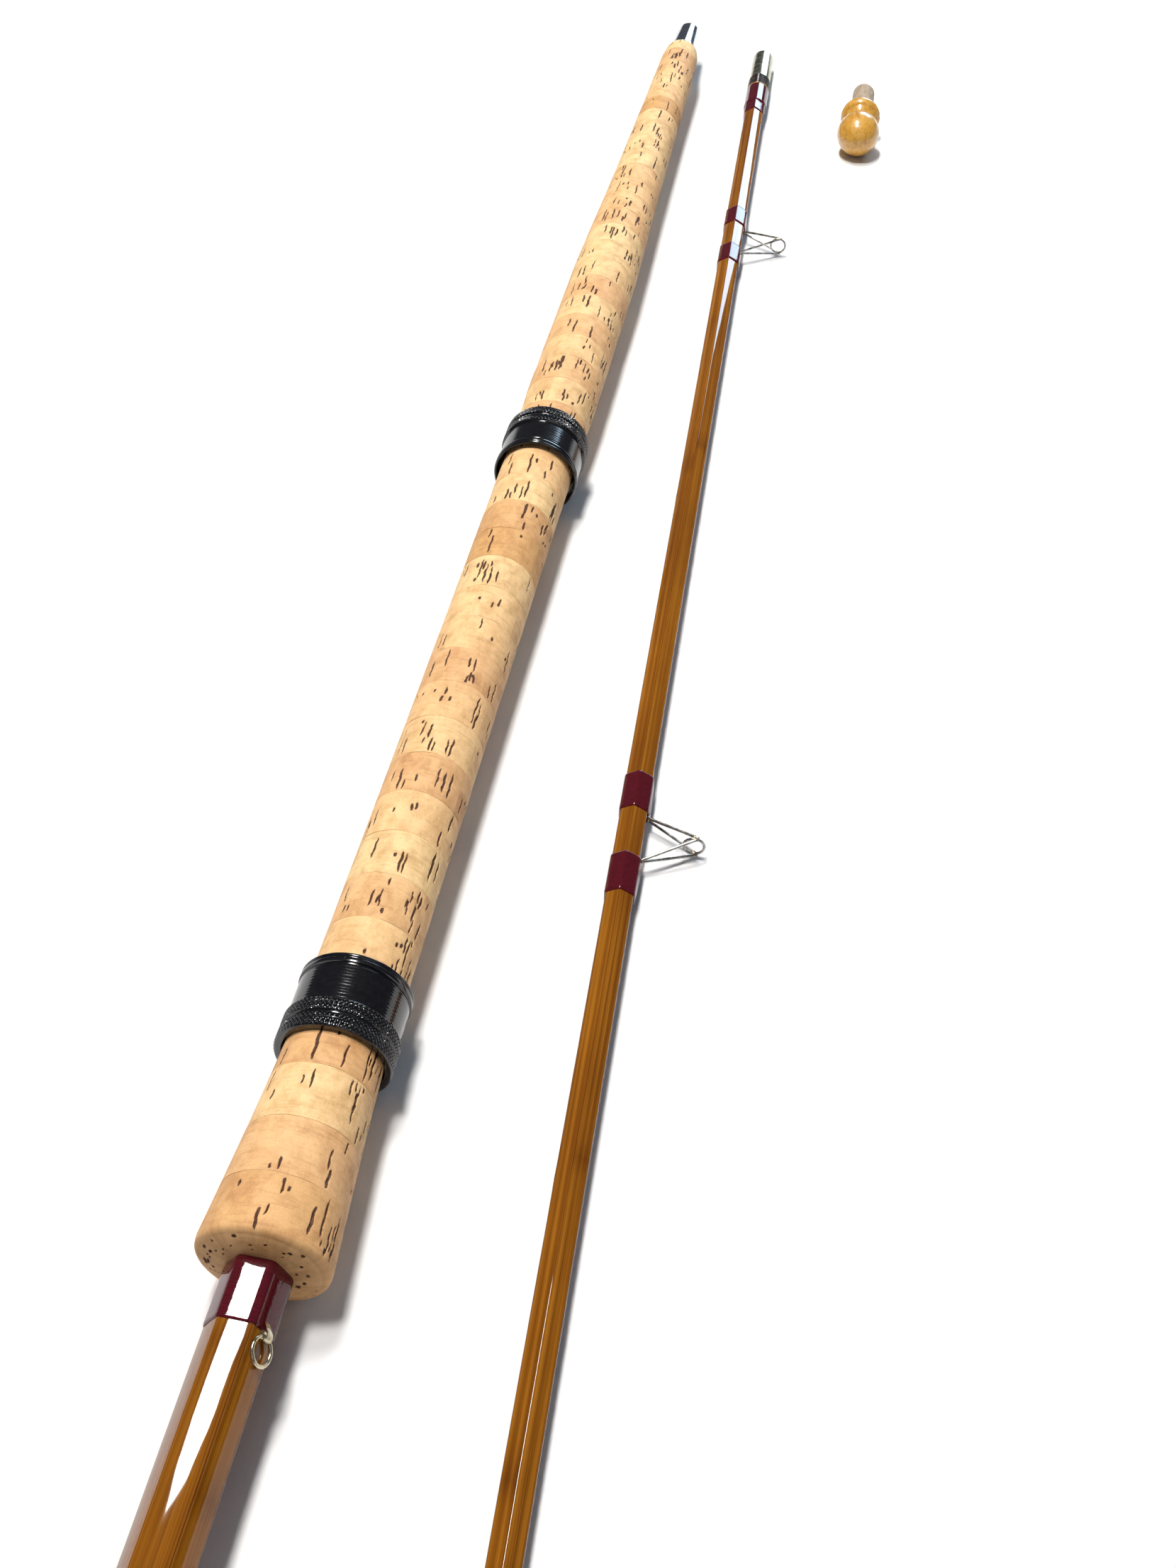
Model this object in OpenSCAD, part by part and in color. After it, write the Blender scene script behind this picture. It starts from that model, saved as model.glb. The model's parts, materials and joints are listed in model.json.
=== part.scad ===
// Two-piece split-cane rod with a full cork handle and sliding reel bands, laid out beside the turned
// plug of its ferrule. The butt section lies along Y with its cap towards +Y. The tip section lies
// beside it on the +X side, ferrule towards +Y, resting on its ferrule whipping and guide eyes.

/* [Sections] */
// Length of each section, end to end
section_len = 1541; // [1300:1:1700]
// Size of the butt cane across its flats, inside the handle
butt_w = 13.1; // [12.6:0.1:13.4]
// Size of the butt cane across its flats, at the ferrule
butt_thin_w = 10; // [9.6:0.1:10.2]
// Size of the tip cane across its flats, at the ferrule
tip_w = 8.6; // [8.2:0.1:8.8]
// Size of the tip cane across its flats, halfway along
tip_mid_w = 7.2; // [6.6:0.1:7.6]
// Size of the tip cane across its flats, at the tip ring
tip_thin_w = 3; // [2.8:0.1:3.4]

/* [Cork handle] */
// Length of the cork
cork_len = 670; // [640:1:700]
// Radius of the grip where the reel sits
grip_r = 12.1; // [11.9:0.05:12.2]
// Radius of the flared front face, before its edge is rounded
flare_r = 15.5; // [14.8:0.1:16]
// Length of the flare
flare_len = 58; // [48:1:60]
// Number of cork rings glued end to end, in groups of three
ring_count = 45; // [39:3:54]
// Thickness of the glue line between two rings
glue_line = 0.06; // [0.04:0.01:0.1]

/* [Reel bands] */
// Length of a sliding band
band_len = 22; // [20:0.5:26]
// Radius of the knurled rim
band_knurl_r = 14.6; // [14.4:0.1:15]
// Radius of the lip at the mouth
band_lip_r = 14.25; // [14.1:0.05:14.5]
// Bore radius that runs on the cork
band_bore_r = 12.65; // [12.6:0.05:12.8]
// Distance from the front face of the cork to the front band's mouth
front_mouth = 76; // [74:1:90]
// Distance from the front face of the cork to the rear band's mouth
rear_mouth = 298; // [280:1:300]

/* [Ferrule] */
// Outer diameter of the male slide
slide_d = 10.2; // [10:0.1:10.2]
// Length of the slide that goes into the female ferrule
slide_len = 34; // [30:1:36]

/* [Guides] */
// Radius of the frame wire
frame_wire_r = 0.42; // [0.38:0.02:0.46]
// Radius of the eye wire
eye_wire_r = 0.4; // [0.36:0.02:0.44]
// Angle by which the tip guides lean down to the table
guide_droop = 2; // [0:0.5:3]

/* [Layout] */
// Angle between the two sections as they lie
lay_angle = 1.85; // [1:0.05:2.5]
// Distance from the handle's axis to the tip section's ferrule end
lay_gap = 38.6; // [34:0.2:46]
// Distance from the handle's axis to the ferrule plug
plug_gap = 91.4; // [84:0.2:96]

/* [Hidden] */
$fn = 96;
rounding = 1.5;
// How far the front face stands forward of its rim where the cane leaves it, and the radius there.
nose = 1.3;
nose_r = 7.6;
small = 0.01;
root3 = sqrt(3);

// Butt section, measured along Y from the front face of the cork, which is y = 0.
ring_pitch = cork_len / ring_count;
group_count = ring_count / 3;
turned_r = 4.9;
turned_from = (ring_count - 2) * ring_pitch;
cap_len = 29;
cap_depth = 20;
cap_r = 6.9;
cap_end_r = 5.3;
butt_end = cork_len + cap_len;
mouth_y = butt_end - section_len;
female_r = 5.11;
female_wall = 0.65;
female_len = 62;
plug_disc_len = 2;
welt_r = 6.5;
welt_len = 5;
socket_y = mouth_y + slide_len + plug_disc_len;
female_end = mouth_y + female_len;
whip_t = 0.45;
front_whip_len = 15.5;
facet_roll = 4;
side_roll = facet_roll + 60;
butt_guide_y = -560;

// Keeper ring on the side facet, hinged in its folded tab.
keeper_r = 3;
keeper_wire_r = 0.45;
keeper_tab_w = 2.2;
keeper_tab_t = 0.35;
keeper_loop_r = 0.75;
keeper_pin_x = butt_w / 2 + keeper_loop_r + keeper_tab_t;
keeper_pin_y = -front_whip_len - 1.15;

// Tip section, measured along Y from its ferrule end, which is y = 0; the cane runs towards -Y.
male_r = slide_d / 2;
male_step_r = male_r - 0.2;
male_len = 62;
male_bare = 32;
male_band_len = 10;
tipping_len = 0.8;
male_bore_r = 4.15;
male_dome = 3.2;
male_whip_y = -male_bare - male_band_len - tipping_len;
tip_cane_from = -26;
tip_mid_y = -745;
tip_turned_r = 1.35;
tip_tube_len = 12;
tip_cane_end = -section_len + 2;
tip_lift = 5.6;
tip_slope = 0.0917;

// Guides of the tip section: station, height of the eye's centre above the cane's axis, outer radius of
// the eye, half the distance between the feet.
TIP_GUIDES = [
    [-198, 19.5, 3.4, 9],
    [-549, 17.8, 3.3, 8],
    [-850, 15.5, 3.1, 7.5],
    [-1090, 13.5, 2.9, 7],
    [-1280, 12, 2.8, 6.5],
    [-1430, 10.5, 2.7, 6],
];
BUTT_GUIDE = [butt_guide_y, 22, 4, 10];
guide_whip_len = 14;
tongue_len = 13;
tongue_w = 1.4;
tongue_t = 0.35;

// Layout on the table. The origin is the middle of the base of the whole layout's bounding box.
handle_top_r = cork_r(rounding);
butt_x = -42.9;
butt_y = 71.9;
butt_z = handle_top_r;
tip_x = butt_x + lay_gap;
tip_y = butt_y + butt_end - 2.5;
plug_y = butt_y + 594;

// Radius of the cork handle at a distance y from its front face.
function cork_r(y) =
    y < flare_len
        ? grip_r + (flare_r - grip_r) * pow(1 - y / flare_len, 1.3)
        : y > cork_len - 20
            ? cap_r + (8.9 - cap_r) * sqrt(max(0, 1 - pow((y - cork_len + 20) / 20, 2)))
            : lookup(y, [
                [flare_len, grip_r], [120, 11.9], [210, 11.8], [300, 11.9], [322, 12.1], [350, 12.75],
                [440, 12.7], [517, 10.9], [597, 9.5], [cork_len - 20, 8.9],
            ]);

// Size across the flats of each cane at y.
function butt_w_at(y) = butt_w + (butt_thin_w - butt_w) * max(0, min(1, y / (mouth_y + female_len)));
function tip_w_at(y) = lookup(y, [
    [tip_cane_end, tip_thin_w], [tip_mid_y, tip_mid_w], [tip_cane_from, tip_w], [0, tip_w],
]);

// Places children on the butt section, on its side facet, on the tip section or at the ferrule plug.
module on_butt() translate([butt_x, butt_y, butt_z]) children();
module on_side() on_butt() rotate([0, side_roll - 90, 0]) children();
module on_tip() translate([tip_x, tip_y, tip_lift]) rotate([tip_slope, 0, lay_angle]) children();
module on_tip_side() on_tip() rotate([0, guide_droop, 0]) children();

// Solid of revolution about the Y axis; the outline is [radius, y].
module turned(outline) rotate([-90, 0, 0]) rotate_extrude() polygon(outline);

// Plain tube along Y from y0 to y1.
module tube(y0, y1, inner_r, outer_r)
    turned([[inner_r, y0], [outer_r, y0], [outer_r, y1], [inner_r, y1]]);

// Hexagonal bar along Y between y0 and y1, with a facet facing +X and a corner up.
module hex_bar(y0, y1, w)
    translate([0, max(y0, y1), 0])
        rotate([90, 0, 0])
            rotate(30)
                cylinder(r = w / root3, h = abs(y1 - y0), $fn = 6);

// Thread wound over the hexagonal cane.
module hex_sleeve(y0, y1, w)
    difference() {
        hex_bar(y0, y1, w + 2 * whip_t);
        hex_bar(y0 - 1, y1 + 1, w);
    }

// One of the six strips of a cane, a tapered triangular wedge through stations [y, w].
module cane_strip(i, stations) {
    last = len(stations) - 1;
    points = [
        for (s = stations)
            for (corner = [[0, 0], [1, 60 * i - 60], [1, 60 * i]])
                let (r = corner[0] * s[1] / root3)
                [r * sin(corner[1]), s[0], r * cos(corner[1])]
    ];
    sides = [
        for (k = [0:last - 1])
            for (j = [0:2])
                let (n = (j + 1) % 3)
                [3 * k + j, 3 * k + n, 3 * k + 3 + n, 3 * k + 3 + j]
    ];
    polyhedron(points, concat([[2, 1, 0]], sides, [[3 * last, 3 * last + 1, 3 * last + 2]]));
}

// Whipping that starts on a ferrule at ferrule_y, steps down at step_y and ends on the cane at cane_y.
module stepped_whipping(ferrule_y, step_y, cane_y, ferrule_r, w) {
    lap = sign(cane_y - step_y);
    difference() {
        union() {
            tube(ferrule_y, step_y + lap, 0, ferrule_r + whip_t);
            hex_bar(step_y, cane_y, w + 2 * whip_t);
        }
        tube(ferrule_y - lap, step_y, 0, ferrule_r);
        hex_bar(step_y, cane_y + lap, w);
    }
}

// Straight wire between two points.
module wire(from, to, r) {
    d = to - from;
    translate(from)
        rotate([0, acos(d[2] / norm(d)), atan2(d[1], d[0])])
            cylinder(r = r, h = norm(d), $fn = 24);
}

// Wire ring with its axis along Y.
module eye(outer_r, wire_r)
    rotate([90, 0, 0])
        rotate_extrude()
            translate([outer_r - wire_r, 0])
                circle(r = wire_r, $fn = 24);

// The flattened foot wire that lies under a whipping.
module tongue(w, half, side)
    translate([w / 2, side > 0 ? half - 1 : -half + 1 - tongue_len, -tongue_w / 2])
        cube([tongue_t, tongue_len, tongue_w]);

// Bridge guide: a pair of wires from each foot to the two sides of a brazed wire eye.
module guide(g, w, slope) {
    translate([0, g[0], 0])
        rotate([0, 0, -slope]) {
            translate([g[1], 0, 0]) eye(g[2], eye_wire_r);
            for (side = [-1, 1]) {
                tongue(w, g[3], side);
                for (up = [-1, 1])
                    wire([w / 2 + frame_wire_r, side * g[3], 0],
                        [g[1], side * 0.5, up * (g[2] - eye_wire_r)], frame_wire_r);
            }
        }
}

// The two whippings over the feet of a guide.
module guide_whippings(g, w, slope) {
    for (side = [-1, 1])
        difference() {
            hex_sleeve(g[0] + (side > 0 ? g[3] + 0.6 : -g[3] - 0.6 - guide_whip_len),
                g[0] + (side > 0 ? g[3] + 0.6 + guide_whip_len : -g[3] - 0.6),
                w + (side > 0 ? 1 : 0) * 2 * tan(slope) * (g[3] + guide_whip_len + 0.6));
            translate([0, g[0], 0]) rotate([0, 0, -slope]) tongue(w, g[3], side);
        }
}

module butt_strip(i)
    color([0.78, 0.48, 0.14])
        on_side()
            difference() {
                cane_strip(i, [
                    [cork_len + cap_depth, butt_w],
                    [0, butt_w],
                    [female_end, butt_thin_w],
                    [socket_y, butt_thin_w],
                ]);
                tube(turned_from, cork_len + cap_depth + 1, turned_r, butt_w);
                tube(socket_y - 1, female_end, turned_r - 0.02, butt_w);
            }

// Three neighbouring cork rings, cut to the profile of the handle and bored to fit the cane.
module cork_rings(group)
    color([0.87, 0.72, 0.54])
        for (k = [0:2])
            cork_ring((group - 1) * 3 + k);

module cork_ring(n) {
    y0 = n * ring_pitch + (n > 0 ? glue_line / 2 : 0);
    y1 = (n + 1) * ring_pitch - (n < ring_count - 1 ? glue_line / 2 : 0);
    steps = 6;
    rim = [for (k = [0:steps]) let (y = y0 + (y1 - y0) * k / steps) [cork_r(y), y]];
    round_rim = n > 0 ? rim : [
        [nose_r, -nose],
        for (a = [0:15:75]) [cork_r(rounding) - rounding * (1 - sin(a)), rounding * (1 - cos(a))],
        for (p = rim) if (p[1] > rounding) p,
    ];
    bored = n * ring_pitch >= turned_from - small;
    on_side()
        difference() {
            turned(concat([[0, round_rim[0][1]]], round_rim, [[0, y1]]));
            if (bored)
                turned([[0, y0 - 1], [turned_r, y0 - 1], [turned_r, y1 + 1], [0, y1 + 1]]);
            else
                hex_bar(y0 - nose - 1, y1 + 1, butt_w);
        }
}

// Polished tapered cap, socketed over the turned end of the cane.
module butt_cap()
    color([0.8, 0.8, 0.82])
        on_butt()
            turned([
                [turned_r, cork_len],
                [cap_r, cork_len],
                [cap_end_r + 0.5, butt_end - 4],
                [cap_end_r, butt_end - 1.6],
                [cap_end_r - 0.5, butt_end - 0.5],
                [cap_end_r - 1.6, butt_end],
                [0, butt_end],
                [0, cork_len + cap_depth],
                [turned_r, cork_len + cap_depth],
            ]);

module front_whipping()
    color([0.3, 0.06, 0.09])
        on_side()
            difference() {
                hex_sleeve(-front_whip_len, -nose, butt_w);
                keeper_strip();
            }

// The strip of the keeper's tab that lies under the whipping.
module keeper_strip()
    translate([butt_w / 2, keeper_pin_y, -keeper_tab_w / 2])
        cube([keeper_tab_t, 12, keeper_tab_w]);

module keeper_tab()
    color([0.8, 0.79, 0.72])
        on_side() {
            difference() {
                union() {
                    keeper_strip();
                    keeper_barrel(keeper_loop_r + keeper_tab_t, keeper_tab_w);
                }
                keeper_barrel(keeper_loop_r, keeper_tab_w + 2);
            }
        }

module keeper_barrel(r, w)
    translate([keeper_pin_x, keeper_pin_y, -w / 2]) cylinder(r = r, h = w);

module keeper_ring()
    color([0.8, 0.79, 0.72])
        on_side()
            translate([keeper_pin_x, keeper_pin_y - keeper_r, 0])
                rotate([90, 0, 90])
                    rotate_extrude()
                        translate([keeper_r, 0])
                            circle(r = keeper_wire_r, $fn = 24);

// Sliding band, from its knurled rim at y = 0 to its mouth.
module reel_band()
    color([0.07, 0.07, 0.08])
        turned([
            [band_bore_r, 0],
            [band_knurl_r - 0.5, 0],
            [band_knurl_r, 0.5],
            [band_knurl_r, 3.6],
            [band_knurl_r - 0.6, 3.9],
            [band_knurl_r - 0.6, 4.5],
            [band_knurl_r, 4.8],
            [band_knurl_r, 8],
            [band_lip_r - 0.35, 8.5],
            [band_lip_r - 0.35, band_len - 3],
            [band_lip_r, band_len - 2.6],
            [band_lip_r, band_len - 0.4],
            [band_lip_r - 0.4, band_len],
            [band_bore_r + 0.9, band_len],
            [band_bore_r + 0.7, band_len - 0.4],
            [band_bore_r + 0.6, 12],
            [band_bore_r, 7],
        ]);

module reel_band_front()
    on_butt() translate([0, front_mouth - band_len, 0]) reel_band();

module reel_band_rear()
    on_butt() translate([0, rear_mouth + band_len, 0]) mirror([0, 1, 0]) reel_band();

module butt_guide()
    color([0.62, 0.6, 0.55])
        on_side() guide(BUTT_GUIDE, butt_w_at(butt_guide_y), butt_slope());

module butt_guide_whippings()
    color([0.3, 0.06, 0.09])
        on_side() guide_whippings(BUTT_GUIDE, butt_w_at(butt_guide_y), butt_slope());

// Angle of a facet to the axis, from the taper of the cane around y.
function butt_slope() = atan((butt_w - butt_thin_w) / 2 / -(mouth_y + female_len));
function tip_slope_at(y) = atan((tip_w_at(y + 5) - tip_w_at(y - 5)) / 20);

module female_ferrule()
    color([0.78, 0.75, 0.66])
        on_butt()
            turned([
                [female_r, mouth_y],
                [female_r + female_wall, mouth_y],
                [female_r + female_wall, female_end],
                [turned_r, female_end],
                [turned_r, mouth_y + slide_len],
                [female_r, mouth_y + slide_len],
            ]);

module ferrule_welt()
    color([0.78, 0.75, 0.66])
        on_butt()
            turned([
                [female_r + female_wall, mouth_y],
                [welt_r - 0.4, mouth_y],
                [welt_r, mouth_y + 0.6],
                [welt_r, mouth_y + welt_len - 0.6],
                [welt_r - 0.4, mouth_y + welt_len],
                [female_r + female_wall, mouth_y + welt_len],
            ]);

// Water stop between the slide and the end of the cane.
module ferrule_plug_disc()
    color([0.78, 0.75, 0.66])
        on_butt() tube(mouth_y + slide_len, socket_y, 0, turned_r);

module female_ferrule_whipping()
    color([0.3, 0.06, 0.09])
        on_side()
            stepped_whipping(female_end - 22, female_end, female_end + 8, female_r + female_wall,
                butt_w_at(female_end + 8));

module tip_strip(i)
    color([0.74, 0.42, 0.1])
        on_tip_side()
            difference() {
                cane_strip(i, [
                    [tip_cane_from, tip_w],
                    [-male_len, tip_w_at(-male_len)],
                    [tip_mid_y, tip_mid_w],
                    [tip_cane_end, tip_thin_w],
                ]);
                tube(-male_len, tip_cane_from + 1, male_bore_r, tip_w);
                tube(tip_cane_end - 1, tip_cane_end + tip_tube_len - 2, tip_turned_r, tip_w);
            }

// Male slide, a tube closed by a domed end.
module male_ferrule()
    color([0.72, 0.7, 0.62])
        on_tip()
            turned(concat(
                [for (a = [0:15:75]) [male_r - male_dome * (1 - sin(a)), -male_dome * (1 - cos(a))]],
                [
                    [male_r, -male_dome], [male_r, -male_bare], [male_step_r, -male_bare],
                    [male_step_r, -male_len], [male_bore_r, -male_len], [male_bore_r, -1.5], [0, -1.5],
                    [0, 0],
                ]
            ));

module male_ferrule_band()
    color([0.16, 0.1, 0.09])
        on_tip() tube(-male_bare - male_band_len, -male_bare, male_step_r, male_r + 0.2);

module gold_tipping()
    color([0.85, 0.65, 0.25])
        on_tip()
            tube(male_whip_y, male_whip_y + tipping_len, male_step_r, male_r + 0.3);

module male_ferrule_whipping()
    color([0.3, 0.06, 0.09])
        on_tip_side()
            stepped_whipping(male_whip_y, -male_len, -male_len - 10, male_step_r, tip_w_at(-male_len));

module tip_guide(i)
    color([0.62, 0.6, 0.55])
        on_tip_side() {
            g = TIP_GUIDES[i - 1];
            guide(g, tip_w_at(g[0]), tip_slope_at(g[0]));
        }

module tip_guide_whipping(i)
    color([0.3, 0.06, 0.09])
        on_tip_side() {
            g = TIP_GUIDES[i - 1];
            guide_whippings(g, tip_w_at(g[0]), tip_slope_at(g[0]));
        }

// Tip ring: a tube over the end of the cane, with a braced eye.
module tip_ring()
    color([0.62, 0.6, 0.55])
        on_tip_side() {
            top = -section_len;
            tube(top + 2, top + tip_tube_len, tip_turned_r, tip_turned_r + 0.45);
            tube(top, top + 2, 0, tip_turned_r + 0.45);
            translate([3.9, top + 1, 0]) eye(2.6, eye_wire_r);
            for (up = [-1, 1])
                wire([1.6, top + 10, up * 0.5], [3.9, top + 1, up * 2.2], frame_wire_r - 0.1);
        }

module tip_ring_whipping()
    color([0.3, 0.06, 0.09])
        on_tip_side() {
            y0 = tip_cane_end + tip_tube_len - 2;
            hex_sleeve(y0, y0 + 9, tip_w_at(y0 + 9));
        }

// Turned boxwood plug that keeps the female ferrule clean: egg, neck, bead and spigot.
module ferrule_stopper() {
    egg_r = 9.6;
    half_egg = 11.6;
    bead_r = 9.1;
    bead_y = 30;
    spigot_r = 5.1;
    length = 58.6;
    color([0.88, 0.66, 0.28])
        translate([butt_x + plug_gap, plug_y, egg_r])
            turned(concat(
                [for (a = [0:10:140]) [egg_r * sin(a), half_egg - half_egg * cos(a)]],
                [[5.8, bead_y - 6]],
                [for (a = [-60:20:80]) [bead_r - 3 + 3 * cos(a), bead_y + 3.2 * sin(a)]],
                [
                    [spigot_r, bead_y + 3.5], [spigot_r, length - 2],
                    [spigot_r - 1.5, length], [0, length],
                ]
            ));
}

for (i = [1:6]) butt_strip(i);
for (i = [1:group_count]) cork_rings(i);
butt_cap();
front_whipping();
keeper_tab();
keeper_ring();
reel_band_front();
reel_band_rear();
butt_guide();
butt_guide_whippings();
female_ferrule();
ferrule_welt();
ferrule_plug_disc();
female_ferrule_whipping();
for (i = [1:6]) tip_strip(i);
male_ferrule();
male_ferrule_band();
gold_tipping();
male_ferrule_whipping();
for (i = [1:6]) tip_guide(i);
for (i = [1:6]) tip_guide_whipping(i);
tip_ring();
tip_ring_whipping();
ferrule_stopper();
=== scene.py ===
"""Looks of a split-cane rod in two sections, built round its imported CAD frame.

Every local length is in millimetres, measured along Y from the front face of the cork (butt section) or
from the end of the male ferrule (tip section). place matrices turn them into metres in the row frame.
"""
import json
import math
import random

import bmesh
import bpy
import numpy as np
from mathutils import Matrix, Vector


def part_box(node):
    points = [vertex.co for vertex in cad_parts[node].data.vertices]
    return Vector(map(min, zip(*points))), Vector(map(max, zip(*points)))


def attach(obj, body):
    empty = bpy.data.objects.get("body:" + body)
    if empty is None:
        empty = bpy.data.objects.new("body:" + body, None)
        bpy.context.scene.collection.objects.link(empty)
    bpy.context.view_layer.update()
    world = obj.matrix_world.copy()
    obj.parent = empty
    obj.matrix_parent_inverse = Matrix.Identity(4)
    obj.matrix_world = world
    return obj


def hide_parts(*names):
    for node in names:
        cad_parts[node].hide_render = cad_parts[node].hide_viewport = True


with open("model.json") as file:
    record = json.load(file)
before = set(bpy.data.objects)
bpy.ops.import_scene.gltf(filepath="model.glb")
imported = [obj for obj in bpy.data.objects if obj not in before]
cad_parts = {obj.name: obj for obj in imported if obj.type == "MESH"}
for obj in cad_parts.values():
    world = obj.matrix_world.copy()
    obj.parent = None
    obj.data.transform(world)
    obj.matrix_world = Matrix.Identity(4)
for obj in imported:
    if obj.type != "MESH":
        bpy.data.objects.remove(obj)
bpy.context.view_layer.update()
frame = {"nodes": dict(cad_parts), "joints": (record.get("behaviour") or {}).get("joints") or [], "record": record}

MM = 0.001
mounts = {m["name"]: m for m in frame["record"]["mounts"]}
joints = {j["name"]: j for j in frame["joints"]}

# ---------------------------------------------------------------- frames of the two sections
ferrule_mount = mounts["female_ferrule"]
slide_mount = mounts["male_ferrule"]
hinge = Vector(joints["keeper_ring_swing"]["axis"])
NOSE = 1.3
CORK_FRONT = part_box("cork_rings_1")[0].y + NOSE * MM
BUTT = Matrix.Translation((ferrule_mount["pos_m"][0], CORK_FRONT, ferrule_mount["pos_m"][2]))
SIDE = BUTT @ Matrix.Rotation(math.atan2(hinge.x, hinge.z), 4, "Y")

SLIDE_DOME = 3.2
GUIDE_DROOP = math.radians(2)
tip_axis = Vector(slide_mount["axis"]).normalized()
slide_half = slide_mount["dims"]["length_mm"] / 2 + SLIDE_DOME
tip_end = Vector(slide_mount["pos_m"]) + tip_axis * slide_half * MM
lay = math.atan2(-tip_axis.x, tip_axis.y)
TIP = Matrix.Translation(tip_end) @ Matrix.Rotation(lay, 4, "Z")
TIP = TIP @ Matrix.Rotation(math.asin(tip_axis.z), 4, "X")
TIP_SIDE = TIP @ Matrix.Rotation(GUIDE_DROOP, 4, "Y")
plug_axis_end = Vector(mounts["stopper_spigot"]["pos_m"])
STOPPER = Matrix.Translation((plug_axis_end.x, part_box("ferrule_stopper")[0].y, plug_axis_end.z))

# ---------------------------------------------------------------- driving sizes, as in the CAD part
CORK_LEN = 670
RING_COUNT = 45
RINGS_A_NODE = 3
RING_PITCH = CORK_LEN / RING_COUNT
SECTION_LEN = 1541
BUTT_END = CORK_LEN + 29
CAP_SPIGOT = 20
MOUTH_Y = BUTT_END - SECTION_LEN
FEMALE_END = MOUTH_Y + 62
SOCKET_Y = MOUTH_Y + 36
TURNED_R = 4.9
MALE_LEN = 62
MALE_SEAT_Y = -26
SLIDE_R = 5.1
SLIDE_LEN = 32
SLIDE_BORE_R = 4.15
STEP_R = 4.9
DARK_END = -42
GOLD_END = -42.8
FERRULE_R = 5.76
FERRULE_BORE_R = 5.11
CANE_END = -SECTION_LEN + 2
TIP_TUBE_LEN = 10
WHIP_T = 0.45
NOSE_R = 7.6


def butt_w(y):
    """Size across the flats of the butt cane."""
    return float(np.interp(y, [FEMALE_END, 0], [10, 13.1]))


def tip_w(y):
    """Size across the flats of the tip cane."""
    return float(np.interp(y, [CANE_END, -745, MALE_SEAT_Y], [3, 7.2, 8.6]))


# ---------------------------------------------------------------- node trees
def node(tree, kind, inputs=None, **settings):
    """A shader node; an input's value may be another node's output socket."""
    made = tree.nodes.new("ShaderNode" + kind)
    for key, value in settings.items():
        setattr(made, key, value)
    for key, value in (inputs or {}).items():
        if isinstance(value, bpy.types.NodeSocket):
            tree.links.new(value, made.inputs[key])
        else:
            made.inputs[key].default_value = value
    return made


def math_node(tree, operation, *values):
    return node(tree, "Math", dict(enumerate(values)), operation=operation).outputs[0]


def vector_times(tree, vector, scale):
    made = node(tree, "VectorMath", {0: vector, 1: scale}, operation="MULTIPLY")
    return made.outputs[0]


def noise(tree, vector, scale=1.0, detail=2.0, rough=0.5, warp=0.0):
    inputs = {"Vector": vector, "Scale": scale, "Detail": detail, "Roughness": rough, "Distortion": warp}
    return node(tree, "TexNoise", inputs).outputs["Fac"]


def ramp(tree, value, *stops):
    """Colour ramp; each stop is (position, colour or grey)."""
    made = node(tree, "ValToRGB", {"Fac": value})
    points = made.color_ramp.elements
    while len(points) < len(stops):
        points.new(0.5)
    for point, (position, colour) in zip(points, stops):
        point.position = position
        colour = (colour,) * 3 if isinstance(colour, (int, float)) else colour
        point.color = (*colour, 1)
    return made.outputs["Color"]


def mix(tree, amount, first, second, blend="MIX"):
    inputs = {"Factor": amount, 6: first, 7: second}
    for key in (6, 7):
        if isinstance(inputs[key], tuple):
            inputs[key] = (*inputs[key], 1)
    return node(tree, "Mix", inputs, data_type="RGBA", blend_type=blend).outputs[2]


def attribute(tree, name, output="Fac"):
    return node(tree, "Attribute", attribute_name=name).outputs[output]


def bump(tree, height, distance, strength=1.0, normal=None):
    inputs = {"Height": height, "Distance": distance, "Strength": strength}
    if normal is not None:
        inputs["Normal"] = normal
    return node(tree, "Bump", inputs).outputs["Normal"]


def material(name, finish, build):
    """Principled material; finish holds its constant sockets, build(tree) gives the linked ones."""
    made = bpy.data.materials.new(name)
    made.use_nodes = True
    tree = made.node_tree
    shader = tree.nodes["Principled BSDF"]
    for key, value in finish.items():
        shader.inputs[key].default_value = value
    for key, socket in build(tree).items():
        tree.links.new(socket, shader.inputs[key])
    return made


def object_mm(tree):
    """The row frame's coordinates in millimetres; every piece's object sits at the origin."""
    return vector_times(tree, node(tree, "TexCoord").outputs["Object"], (1000, 1000, 1000))


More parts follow.
